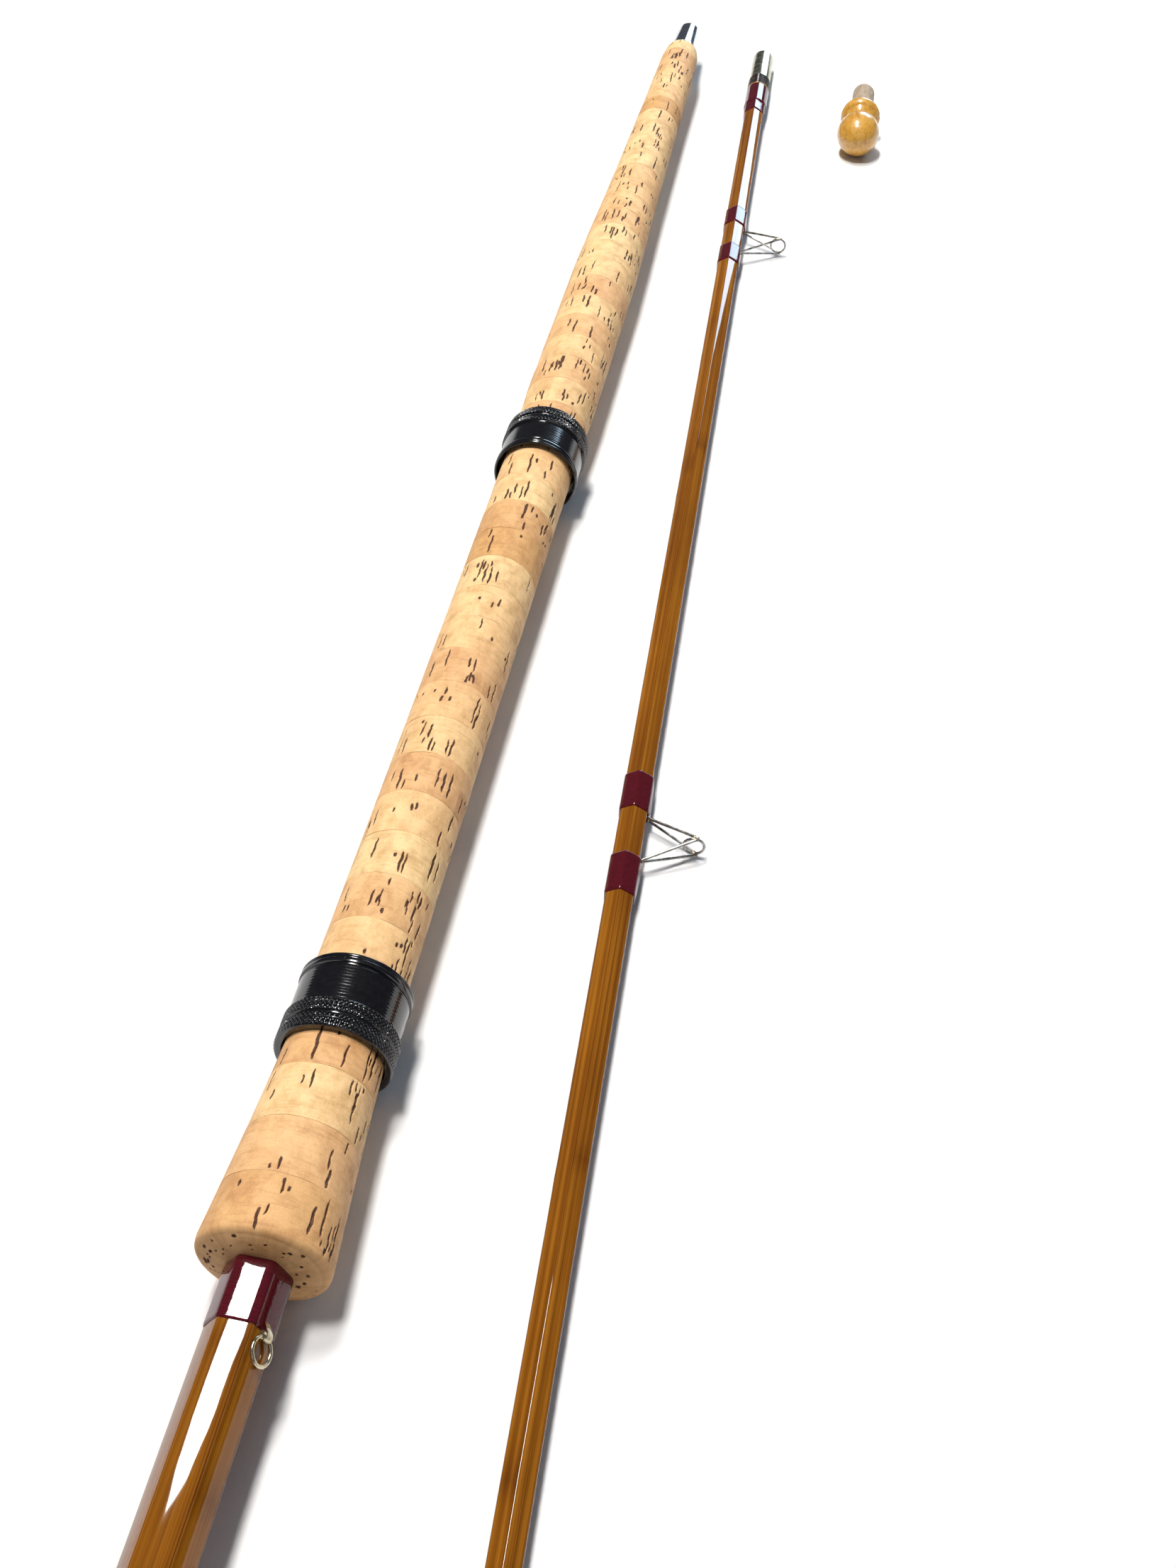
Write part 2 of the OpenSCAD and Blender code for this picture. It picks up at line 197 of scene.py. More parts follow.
# ---------------------------------------------------------------- materials
def cork_look(tree):
    """Ring tints, growth bands across the rod, lenticel pits along it and fine pores."""
    here = attribute(tree, "grain", "Vector")
    tint = attribute(tree, "tint")
    bands = noise(tree, vector_times(tree, here, (0.09, 0.8, 1)), 1, 4, 0.65, 1.0)
    mottle = noise(tree, vector_times(tree, here, (0.30, 0.17, 1)), 1, 5, 0.62)
    patch = noise(tree, vector_times(tree, here, (0.11, 0.09, 1)), 1, 4, 0.6, 0.6)
    fine = noise(tree, vector_times(tree, here, (2.6, 1.3, 1)), 1, 4, 0.7)
    base = ramp(tree, tint, (0, CORK_PALE), (0.45, CORK_MID), (0.8, CORK_PINK), (1, CORK_TAN))
    base = mix(tree, 0.8, base, ramp(tree, bands, (0.33, CORK_BAND), (0.47, 1.0), (0.62, (1.04, 1.03, 1.0)),
                                      (0.72, CORK_BAND)), "MULTIPLY")
    base = mix(tree, 0.8, base, ramp(tree, mottle, (0.3, (0.80, 0.71, 0.62)), (0.56, (1.03, 1.03, 1.03))),
               "MULTIPLY")
    base = mix(tree, 0.8, base, ramp(tree, patch, (0.34, (0.80, 0.72, 0.66)), (0.5, 1.0),
                                     (0.68, (1.06, 1.07, 1.08))), "MULTIPLY")
    base = mix(tree, 0.6, base, ramp(tree, fine, (0.3, (0.84, 0.78, 0.70)), (0.55, 1.0)), "MULTIPLY")
    edge = noise(tree, vector_times(tree, here, (3.5, 1.2, 1)), 1, 3, 0.6)
    deep = math_node(tree, "ADD", attribute(tree, "pit"), math_node(tree, "MULTIPLY_ADD", edge, 0.9, -0.45))
    pit = ramp(tree, deep, (0.26, 0.0), (0.42, 1.0))
    pit_tone = ramp(tree, edge, (0.35, (0.030, 0.009, 0.004)), (0.65, (0.15, 0.056, 0.022)))
    flecks = noise(tree, vector_times(tree, here, (3.2, 0.55, 1)), 1, 2, 0.5)
    fleck = ramp(tree, flecks, (0.70, 0.0), (0.78, 0.75))
    base = mix(tree, fleck, base, (0.40, 0.235, 0.13))
    base = mix(tree, pit, base, pit_tone)
    height = math_node(tree, "SUBTRACT", math_node(tree, "MULTIPLY", fine, 0.35), pit)
    return {
        "Base Color": base,
        "Roughness": ramp(tree, fine, (0.3, 0.72), (0.7, 0.56)),
        "Normal": bump(tree, height, 0.00022, 0.8),
    }


def cane_look(tree):
    """Bamboo under varnish: power fibres along the strip, tone drifting along it, dark glue lines."""
    here = attribute(tree, "grain", "Vector")
    fibre = noise(tree, vector_times(tree, here, (5.5, 0.012, 1)), 1, 3, 0.62)
    broad = noise(tree, vector_times(tree, here, (1.1, 0.006, 1)), 1, 3, 0.55)
    drift = noise(tree, vector_times(tree, here, (0.05, 0.016, 1)), 1, 3, 0.6)
    base = ramp(tree, broad, (0.3, CANE_DARK), (0.5, CANE_MID), (0.68, CANE_LIGHT))
    base = mix(tree, 0.9, base, ramp(tree, fibre, (0.3, (0.66, 0.56, 0.46)), (0.48, (0.98, 0.97, 0.95)),
                                     (0.66, (1.12, 1.12, 1.08))), "MULTIPLY")
    base = mix(tree, 0.8, base, ramp(tree, drift, (0.32, (0.74, 0.66, 0.58)), (0.6, (1.06, 1.05, 1.04))),
               "MULTIPLY")
    base = mix(tree, 1.0, base, ramp(tree, attribute(tree, "shade"), (0, (0.30, 0.18, 0.12)), (1, 1.0)),
               "MULTIPLY")
    film = noise(tree, vector_times(tree, here, (0.30, 0.05, 1)), 1, 2)
    return {
        "Base Color": base,
        "Normal": bump(tree, fibre, 0.00003, 0.5),
        "Coat Normal": bump(tree, film, 0.00002, 0.5),
    }


def thread_look(tone, painted_crest_gain):
    """Silk turns wound side by side under varnish, each turn's crest painted lighter as a highlight and the groove
    between turns painted darker as shade.
    """
    def build(tree):
        here = attribute(tree, "grain", "Vector")
        slow = noise(tree, vector_times(tree, here, (0.25, 0.8, 1)), 1, 2)
        wind = node(tree, "SeparateXYZ", {0: here}).outputs["Y"]
        turn = math_node(tree, "SINE", math_node(tree, "MULTIPLY_ADD", slow, 1.5,
                                                 math_node(tree, "MULTIPLY", wind, 2 * math.pi / 0.24)))
        turn = math_node(tree, "MULTIPLY_ADD", turn, 0.5, 0.5)
        streak = noise(tree, vector_times(tree, here, (0.5, 4.5, 1)), 1, 2)
        # Painted light: each turn's crest is painted up to a brighter tone as a highlight, and the groove between
        # turns down to a darker tone as shade, in step with the ridge bump.
        light = tuple(min(1, c * painted_crest_gain) for c in tone)
        dark = tuple(c * 0.45 for c in tone)
        base = mix(tree, turn, dark, light)
        base = mix(tree, 0.55, base, ramp(tree, streak, (0.35, 0.55), (0.65, 1.25)), "MULTIPLY")
        ridges = bump(tree, turn, 0.00005, 0.7)
        film = noise(tree, vector_times(tree, here, (0.45, 0.7, 1)), 1, 3)
        return {"Base Color": base, "Normal": ridges, "Coat Normal": bump(tree, film, 0.00004, 0.4)}
    return build


def metal_look(light, dark, smooth, rough, along=(1.5, 14, 1.5)):
    """Turned metal: fine rings across the axis, faint tarnish."""
    def build(tree):
        here = object_mm(tree)
        rings = noise(tree, vector_times(tree, here, along), 1, 3, 0.6)
        stain = noise(tree, here, 0.35, 4, 0.6)
        base = ramp(tree, stain, (0.36, dark), (0.6, light))
        dull = math_node(tree, "MULTIPLY_ADD", rings, 0.6, math_node(tree, "MULTIPLY", stain, 0.4))
        rough_map = ramp(tree, dull, (0.35, smooth), (0.65, rough))
        return {"Base Color": base, "Roughness": rough_map, "Normal": bump(tree, rings, 0.000012, 0.4)}
    return build


def band_look(tree):
    """Black anodised aluminium with lathe rings, and a lighter grey painted on its sharp edges and knurl peaks as
    a highlight.
    """
    here = object_mm(tree)
    rings = noise(tree, vector_times(tree, here, (0.35, 4.5, 0.35)), 1, 3, 0.7)
    dust = noise(tree, here, 0.9, 4, 0.65)
    # Painted highlight: sharp edges and knurl peaks, picked out by their pointiness, are painted a lighter grey.
    painted_glint_pointiness = node(tree, "NewGeometry").outputs["Pointiness"]
    edge = ramp(tree, painted_glint_pointiness, (0.53, 0.0), (0.60, 0.45))
    base = ramp(tree, dust, (0.35, (0.002, 0.002, 0.003)), (0.75, (0.008, 0.0075, 0.009)))
    base = mix(tree, edge, base, (0.09, 0.085, 0.09))
    return {
        "Base Color": base,
        "Roughness": ramp(tree, rings, (0.35, 0.09), (0.68, 0.17)),
        "Normal": bump(tree, rings, 0.000006, 0.3),
    }


def boxwood_look(light, mid, dark, coat):
    """Turned boxwood: soft grain along the axis with pale flecks."""
    def build(tree):
        here = object_mm(tree)
        grain = noise(tree, vector_times(tree, here, (0.55, 0.16, 0.55)), 1, 4, 0.6, 0.8)
        pores = noise(tree, vector_times(tree, here, (6, 1.2, 6)), 1, 3, 0.6)
        base = ramp(tree, grain, (0.3, dark), (0.5, mid), (0.72, light))
        base = mix(tree, 0.5, base, ramp(tree, pores, (0.32, (0.72, 0.62, 0.5)), (0.55, 1.0)), "MULTIPLY")
        made = {"Base Color": base, "Normal": bump(tree, pores, 0.00006, 0.2 if coat else 0.7)}
        if not coat:
            made["Roughness"] = ramp(tree, pores, (0.3, 0.85), (0.7, 0.65))
        return made
    return build


def floor_look(tree):
    here = object_mm(tree)
    haze = noise(tree, here, 0.004, 3, 0.6)
    grit = noise(tree, here, 0.8, 3, 0.6)
    return {
        "Base Color": ramp(tree, haze, (0.3, (0.79, 0.79, 0.80)), (0.7, (0.83, 0.83, 0.83))),
        "Roughness": ramp(tree, grit, (0.3, 0.55), (0.7, 0.65)),
    }


CORK_PALE, CORK_MID = (0.87, 0.635, 0.325), (0.85, 0.55, 0.27)
CORK_TAN, CORK_PINK = (0.66, 0.375, 0.145), (0.77, 0.465, 0.225)
CORK_BAND = (0.86, 0.78, 0.70)
CANE_DARK, CANE_MID, CANE_LIGHT = (0.15, 0.049, 0.003), (0.25, 0.088, 0.005), (0.34, 0.134, 0.011)
VARNISH = {"Coat Weight": 1.0, "Coat Roughness": 0.03, "Coat IOR": 1.47}

CORK = material("cork", {"Specular IOR Level": 0.35}, cork_look)
SATIN = {"Roughness": 0.5, "Specular IOR Level": 0.0}
CANE = material("cane", {**VARNISH, **SATIN}, cane_look)
MAROON = material("maroon_thread", {**VARNISH, **SATIN}, thread_look((0.085, 0.006, 0.012), 1.5))
DARK_THREAD = material("dark_thread", {**VARNISH, **SATIN}, thread_look((0.03, 0.016, 0.014), 1.4))
GOLD_THREAD = material("gold_thread", {**VARNISH, **SATIN}, thread_look((0.52, 0.33, 0.09), 1.4))
NICKEL = material("nickel_silver", {"Metallic": 1.0},
                  metal_look((0.70, 0.64, 0.47), (0.50, 0.44, 0.28), 0.16, 0.30))
WIRE = material("guide_wire", {"Metallic": 1.0},
                metal_look((0.55, 0.54, 0.52), (0.30, 0.28, 0.25), 0.2, 0.36))
BRAZE = material("braze", {"Metallic": 1.0}, metal_look((0.72, 0.50, 0.24), (0.42, 0.26, 0.12), 0.22, 0.4))
CAP = material("cap_metal", {"Metallic": 1.0},
               metal_look((0.86, 0.86, 0.88), (0.74, 0.75, 0.78), 0.05, 0.12))
BAND = material("black_band", {"Specular IOR Level": 0.8}, band_look)
BOXWOOD = material("boxwood", {**VARNISH, "Roughness": 0.35},
                   boxwood_look((0.80, 0.48, 0.105), (0.70, 0.37, 0.055), (0.50, 0.22, 0.028), True))
BARE_WOOD = material("boxwood_bare", {"Specular IOR Level": 0.3},
                     boxwood_look((0.52, 0.42, 0.32), (0.42, 0.33, 0.24), (0.30, 0.22, 0.15), False))
FLOOR = material("floor", {"Specular IOR Level": 0.3}, floor_look)


# ---------------------------------------------------------------- meshes
def skin(rows, cols, first=0, wrap_rows=False, wrap_cols=True):
    """Quads between the points of a grid of rows times cols."""
    row = np.arange(rows if wrap_rows else rows - 1)
    col = np.arange(cols if wrap_cols else cols - 1)
    j, i = np.meshgrid(row, col, indexing="ij")
    after_j, after_i = (j + 1) % rows, (i + 1) % cols
    corners = [j * cols + i, j * cols + after_i, after_j * cols + after_i, after_j * cols + i]
    return (np.stack(corners, -1).reshape(-1, 4) + first).tolist()


def piece(name, points, faces, place, body, slot, looks, stands_for=(), values=None, crease=38, pick=None):
    """A mesh piece from local points in millimetres; values are point attributes, pick(at) a face's look."""
    mesh = bpy.data.meshes.new(name)
    turn = np.array(place)
    rest = np.asarray(points, float).reshape(-1, 3) * MM @ turn[:3, :3].T + turn[:3, 3]
    mesh.from_pydata(rest.tolist(), [], faces)
    for key, numbers in (values or {}).items():
        numbers = np.asarray(numbers, np.float32)
        if numbers.size == len(mesh.vertices) * 3:
            mesh.attributes.new(key, "FLOAT_VECTOR", "POINT").data.foreach_set("vector", numbers.ravel())
        else:
            mesh.attributes.new(key, "FLOAT", "POINT").data.foreach_set("value", numbers.ravel())
    for look in looks if isinstance(looks, list) else [looks]:
        mesh.materials.append(look)
    tidy = bmesh.new()
    tidy.from_mesh(mesh)
    if pick:
        local = place.inverted()
        for face in tidy.faces:
            face.material_index = pick(local @ face.calc_center_median() / MM)
    bmesh.ops.remove_doubles(tidy, verts=tidy.verts, dist=1e-7)
    bmesh.ops.recalc_face_normals(tidy, faces=tidy.faces)
    for face in tidy.faces:
        face.smooth = True
    tidy.to_mesh(mesh)
    tidy.free()
    mesh.set_sharp_from_angle(angle=math.radians(crease))
    made = bpy.data.objects.new(name, mesh)
    bpy.context.scene.collection.objects.link(made)
    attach(made, body)
    if stands_for:
        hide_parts(*stands_for)
    return made


def filleted(outline, radius, steps=4):
    """A closed outline of (radius, y) with its corners rounded; a corner on the axis stays."""
    points = [Vector(p) for p in outline]
    made = []
    for k, corner in enumerate(points):
        before, after = points[k - 1] - corner, points[(k + 1) % len(points)] - corner
        if corner.x < 1e-6 or before.length < 1e-6 or after.length < 1e-6:
            made.append(corner)
            continue
        a = corner + before.normalized() * min(radius, before.length * 0.45)
        b = corner + after.normalized() * min(radius, after.length * 0.45)
        for s in range(steps + 1):
            t = s / steps
            made.append(a * (1 - t) ** 2 + corner * 2 * t * (1 - t) + b * t * t)
    return made


def lathe(name, outline, place, body, slot, looks, stands_for, fillet=0.2, segments=128, **more):
    """Solid of revolution about local Y from a closed outline of (radius, y)."""
    line = filleted(outline, fillet)
    around = np.linspace(0, 2 * math.pi, segments, endpoint=False)
    r = np.array([p.x for p in line])[:, None]
    y = np.array([p.y for p in line])[:, None]
    points = np.stack([r * np.sin(around), y + 0 * around, r * np.cos(around)], -1)
    on_axis = line[0].x < 1e-6 and line[-1].x < 1e-6
    faces = skin(len(line), segments, wrap_rows=not on_axis)
    return piece(name, points, faces, place, body, slot, looks, stands_for, **more)


def smooth_path(points, bend, steps=6):
    """A polyline with its corners rounded over the length bend."""
    points = [Vector(p) for p in points]
    made = [points[0]]
    for before, corner, after in zip(points, points[1:], points[2:]):
        back, on = before - corner, after - corner
        a = corner + back.normalized() * min(bend, back.length * 0.45)
        b = corner + on.normalized() * min(bend, on.length * 0.45)
        for s in range(steps + 1):
            t = s / steps
            made.append(a * (1 - t) ** 2 + corner * 2 * t * (1 - t) + b * t * t)
    return made + [points[-1]]


def tube(path, radius, sides=16, flat=None):
    """Points and faces of a round wire along a path; flat(k) gives (wide, thin) factors at the kth point."""
    path = [Vector(p) for p in path]
    directions = [(b - a).normalized() for a, b in zip(path, path[1:])]
    tangents = [directions[0]]
    tangents += [(a + b).normalized() for a, b in zip(directions, directions[1:])]
    tangents.append(directions[-1])
    side = tangents[0].orthogonal().normalized()
    if flat:
        side = Vector((0, 0, 1))
    rows = []
    for k, (at, along) in enumerate(zip(path, tangents)):
        side = (side - along * side.dot(along)).normalized()
        up = along.cross(side)
        wide, thin = flat(k) if flat else (1, 1)
        rows.append([
            at + (side * math.cos(a) * wide + up * math.sin(a) * thin) * radius
            for a in np.linspace(0, 2 * math.pi, sides, endpoint=False)
        ])
    for end, out in ((0, -tangents[0]), (-1, tangents[-1])):
        middle = path[end] + out * radius * 0.5
        cap = [middle + (p - path[end]) * 0.55 for p in rows[end]]
        tip = [path[end] + out * radius * 0.68] * sides
        rows = [tip, cap, *rows] if end == 0 else [*rows, cap, tip]
    return [tuple(p) for row in rows for p in row], skin(len(rows), sides)


def ring(centre, radius, wire, axis="Y", segments=72, sides=18):
    """Points and faces of a wire ring."""
    points = []
    for a in np.linspace(0, 2 * math.pi, segments, endpoint=False):
        for b in np.linspace(0, 2 * math.pi, sides, endpoint=False):
            r = radius + wire * math.cos(b)
            across, along = (r * math.cos(a), r * math.sin(a)), wire * math.sin(b)
            if axis == "Y":
                points.append((centre[0] + across[0], centre[1] + along, centre[2] + across[1]))
            else:
                points.append((centre[0] + along, centre[1] + across[0], centre[2] + across[1]))
    return points, skin(segments, sides, wrap_rows=True)


def blob(centre, radii, rings=12, sides=20):
    """Points and faces of a small drop of braze."""
    points = []
    for a in np.linspace(0, math.pi, rings):
        for b in np.linspace(0, 2 * math.pi, sides, endpoint=False):
            unit = (math.sin(a) * math.cos(b), math.cos(a), math.sin(a) * math.sin(b))
            points.append(tuple(c + r * u for c, r, u in zip(centre, radii, unit)))
    return points, skin(rings, sides)


def joined(parts):
    """Points and faces of several shells as one list."""
    points, faces = [], []
    for more_points, more_faces in parts:
        faces += [tuple(i + len(points) for i in face) for face in more_faces]
        points += list(more_points)
    return points, faces


def hex_distance(around):
    """Distance from the middle of a hexagon of flat size 2 to its rim, with a facet at angle 0."""
    from_facet = (np.degrees(around) + 30) % 60 - 30
    return 1 / np.cos(np.radians(from_facet))


def soft_hex_distance(around, power=18):
    """The same with corners rounded as a film of varnish rounds them; a lower power is rounder."""
    return sum(np.abs(np.cos(around - k * math.pi / 3)) ** power for k in range(3)) ** (-1 / power)


# ---------------------------------------------------------------- cork handle
CORK_COLUMNS = 300
CORK_ROWS = 25


def cork_outline():
    """(y, radius) of the CAD handle."""
    back = np.array(BUTT.inverted())
    found = {}
    for n in range(1, RING_COUNT // RINGS_A_NODE + 1):
        mesh = frame["nodes"][f"cork_rings_{n}"].data
        co = np.empty(len(mesh.vertices) * 3)
        mesh.vertices.foreach_get("co", co)
        local = (co.reshape(-1, 3) @ back[:3, :3].T + back[:3, 3]) / MM
        for y, r in zip(np.round(local[:, 1], 2), np.hypot(local[:, 0], local[:, 2])):
            found[y] = max(found.get(y, 0), r)
    return np.array(sorted(found.items()))


CORK_OUTLINE = cork_outline()


def cork_r(y):
    return np.interp(y, CORK_OUTLINE[:, 0], CORK_OUTLINE[:, 1])


def lenticels(rng):
    """Pits of one ring: (angle, middle, half length, half width, slant, depth), some side by side."""
    made = []
    for _ in range(rng.choice([12, 15, 17, 20, 24])):
        angle, middle = rng.uniform(0, 2 * math.pi), rng.uniform(0.15, 0.85) * RING_PITCH
        half = rng.choice([0.8, 1.4, 2.2, 3.0, 3.9, 5.0, 6.4])
        for _ in range(rng.choice([1, 1, 1, 1, 2, 2, 3])):
            reach = min(half, middle - 0.3, RING_PITCH - 0.3 - middle)
            if reach < 0.5:
                break
            width = rng.uniform(0.05, 0.27) + (0.12 if half < 1.2 else 0)
            made.append((angle, middle, reach, width, rng.uniform(-0.05, 0.05), rng.uniform(0.2, 0.6)))
            angle += rng.choice([-1, 1]) * rng.uniform(0.09, 0.2)
            middle += rng.uniform(-3.5, 3.5)
            half *= rng.uniform(0.5, 1.1)
    return made


def face_lift(r):
    """How far the front face stands forward at radius r, a shallow dome round the cane."""
    t = np.clip((r - NOSE_R) / (cork_r(1.5) - 1.5 - NOSE_R), 0, 1)
    return NOSE * (1 - t ** 1.8)


def cork_ring(n):
    """Points, faces and point values of one glued ring, a closed solid with real pits in its side."""
    rng = random.Random(4100 + n)
    y0, y1 = n * RING_PITCH + (0.03 if n else 0), (n + 1) * RING_PITCH - (0.03 if n < RING_COUNT - 1 else 0)
    start = [y0, y0 + 0.1, y0 + 0.35] if n else [0, 0.05, 0.2, 0.44, 0.75, 1.11, 1.5]
    y = np.concatenate([start, np.linspace(start[-1], y1 - 0.35, CORK_ROWS)[1:], [y1 - 0.1, y1]])
    around = np.linspace(0, 2 * math.pi, CORK_COLUMNS, endpoint=False)
    r = cork_r(y)[:, None] - 0.5 * (np.clip(1 - y / 3, 0, 1) ** 2)[:, None] + 0 * around
    seam = 0.07 * (np.exp(-((y - y0) / 0.16) ** 2) * (n > 0) + np.exp(-((y1 - y) / 0.16) ** 2))
    swell = 0.035 * np.sin(around * 2 + rng.uniform(0, 6)) + 0.025 * np.sin(around * 5 + rng.uniform(0, 6))
    pit = np.zeros_like(r)
    for angle, middle, half, width, slant, depth in lenticels(rng):
        wander = 0.12 * np.sin(y * rng.uniform(0.8, 1.9) + rng.uniform(0, 6))
        off = (around - angle + math.pi) % (2 * math.pi) - math.pi
        across = (off[None] * r - (slant * (y - y0 - middle) + wander)[:, None]) / (width + 0.14)
        along = ((y - y0 - middle) / half)[:, None]
        shape = np.clip(1.15 - across ** 2 - along ** 4, 0, 1)
        pit = np.maximum(pit, shape * (0.7 + depth * 0.6))
    depth = 0.42 * np.clip(pit, 0, 1) ** 1.5
    r = r - seam[:, None] + swell[None] * (1 if 0 < n < RING_COUNT - 1 else 0.4) - depth

    bored = n >= RING_COUNT - 2
    inner = TURNED_R + 0 * around if bored else butt_w(0) / 2 * hex_distance(around)
    rim = 22 if n == 0 else 2
    rows_r, rows_y, rows_pit = [], [], []
    front_pits = [(rng.uniform(0, 2 * math.pi), rng.uniform(8.5, 13.6), rng.uniform(0.12, 0.5))
                  for _ in range(34)]
    front_pits += [(rng.gauss(3.9, 0.35), rng.uniform(10.5, 13.6), rng.uniform(0.2, 0.5)) for _ in range(14)]
    for k in range(rim):
        t = k / rim
        row = inner * (1 - t) + r[0] * t
        spots = 0 * around
        if n == 0 and k:
            for angle, at, size in front_pits:
                off = (around - angle + math.pi) % (2 * math.pi) - math.pi
                shape = 1.2 - (off * at / (size * 1.5)) ** 2 - ((row - at) / (size * 0.8)) ** 2
                spots = np.maximum(spots, np.clip(shape, 0, 1))
        rows_r.append(row)
        rows_y.append(y0 + 0.4 * spots ** 1.5 - (face_lift(row) if n == 0 else 0))
        rows_pit.append(spots)
    rows_r += list(r)
    rows_y += [v + 0 * around for v in y]
    rows_pit += list(pit)
    for k in range(1, 3):
        t = k / 3
        rows_r.append(r[-1] * (1 - t) + inner * t)
        rows_y.append(y1 + 0 * around)
        rows_pit.append(0 * around)
    rows_r.append(inner)
    rows_y.append(y1 + 0 * around)
    rows_pit.append(0 * around)

    radius, length, pits = np.array(rows_r), np.array(rows_y), np.array(rows_pit)
    turn = around + math.pi / 2
    points = np.stack([radius * np.sin(turn), length, radius * np.cos(turn)], -1)
    across = (around[None] + rng.uniform(0, 6)) * 12
    grain = np.stack([across + 0 * length, length - radius * 0.6, 0 * length + 17 * n], -1)
    faces = skin(len(radius), CORK_COLUMNS, wrap_rows=True)
    tint = np.full(radius.size, 0.9 if n == 0 else 0.75 if n == 1 else rng.random())
    return points.reshape(-1, 3), faces, {"grain": grain.reshape(-1, 3), "pit": pits.ravel(), "tint": tint}


def cork_handle():
    for group in range(RING_COUNT // RINGS_A_NODE):
        points, faces, values = [], [], {"grain": [], "pit": [], "tint": []}
        count = 0
        for n in range(group * RINGS_A_NODE, (group + 1) * RINGS_A_NODE):
            more, quads, extra = cork_ring(n)
            faces += (np.array(quads) + count).tolist()
            points.append(more)
            count += len(more)
            for key in values:
                values[key].append(extra[key])
        piece(f"cork_{group + 1}", np.concatenate(points), faces, SIDE, "butt_section", "cork", CORK,
              [f"cork_rings_{group + 1}"], {k: np.concatenate(v) for k, v in values.items()}, crease=60)


# ---------------------------------------------------------------- cane
CORNER = 0.75
CROWN = 0.11


def strip_section(w):
    """Outer face of one strip of flat size w: (out, across) points, crowned, with half-rounded corners."""
    half = w / 2
    corner = min(CORNER, w * 0.09)
    flat = (half - corner) * math.tan(math.pi / 6)
    crown = CROWN * w / 13
    side = [(half - corner + corner * math.cos(a), flat + corner * math.sin(a))
            for a in np.linspace(0, math.pi / 6, 5)[1:]]
    face = [(half + crown * (1 - (t / flat) ** 2), t) for t in np.linspace(-flat, flat, 13)]
    return [(o, -a) for o, a in reversed(side)] + face + side


def cane_strip(name, i, stations, width, turned, place, body, stands_for):
    """One of the six strips; turned(y) is the greatest radius, where the cane is turned to fit a tube."""
    rng = random.Random(600 + 7 * i + len(stations))
    knots = [rng.uniform(-90, 90) - 330 * k for k in range(5)]
    points, grain, shade = [], [], []
    direction = math.radians(60 * i - 120)
    for y in stations:
        section = strip_section(width(y))
        knot = max(math.exp(-((y - k) / 3.5) ** 2) for k in knots)
        reach = section[-1][1]
        row = [(0.0, 0.0)] + section
        for out, across in row:
            length = math.hypot(out, across)
            limit = turned(y)
            scale = min(1, limit / length) if length else 1
            out, across = out * scale, across * scale
            if out > width(y) * 0.4:
                out += 0.07 * knot
            points.append((
                out * math.cos(direction) + across * math.sin(direction), y,
                -out * math.sin(direction) + across * math.cos(direction),
            ))
            grain.append((across, y, 9.3 * i))
            edge = (reach - abs(across)) / 0.16
            shade.append(min(1, 0.25 + 0.75 * edge) * (1 - 0.45 * knot) if length else 0)
    cols = len(strip_section(5)) + 1
    faces = skin(len(stations), cols) + [list(range(cols)), list(range(len(points) - cols, len(points)))]
    piece(name, points, faces, place, body, "cane", CANE, [stands_for],
          {"grain": grain, "shade": shade}, crease=25)


def cane():
    seat = (RING_COUNT - 2) * RING_PITCH
    ferrule_seat_r, tip_seat_r, unturned = 4.88, 1.35, 99

    def butt_turned(y):
        return TURNED_R if y > seat else ferrule_seat_r if y < FEMALE_END else unturned

    def tip_turned(y):
        return SLIDE_BORE_R if y > -MALE_LEN else tip_seat_r if y < CANE_END + TIP_TUBE_LEN else unturned

    butt = [SOCKET_Y, FEMALE_END - 0.01, *np.arange(FEMALE_END, -4, 5.0), 0, 300, seat, seat + 0.01,
            CORK_LEN + CAP_SPIGOT]
    tip = [CANE_END, CANE_END + 9.99, *np.arange(CANE_END + TIP_TUBE_LEN, -MALE_LEN - 4, 5.0), -MALE_LEN,
           -MALE_LEN + 0.01, MALE_SEAT_Y]
    for i in range(1, 7):
        cane_strip(f"butt_cane_{i}", i, butt, butt_w, butt_turned, SIDE, "butt_section", f"butt_strip_{i}")
        cane_strip(f"tip_cane_{i}", i, tip, tip_w, tip_turned, TIP_SIDE, "tip_section", f"tip_strip_{i}")


# ---------------------------------------------------------------- whippings
WHIP_COLUMNS = 96


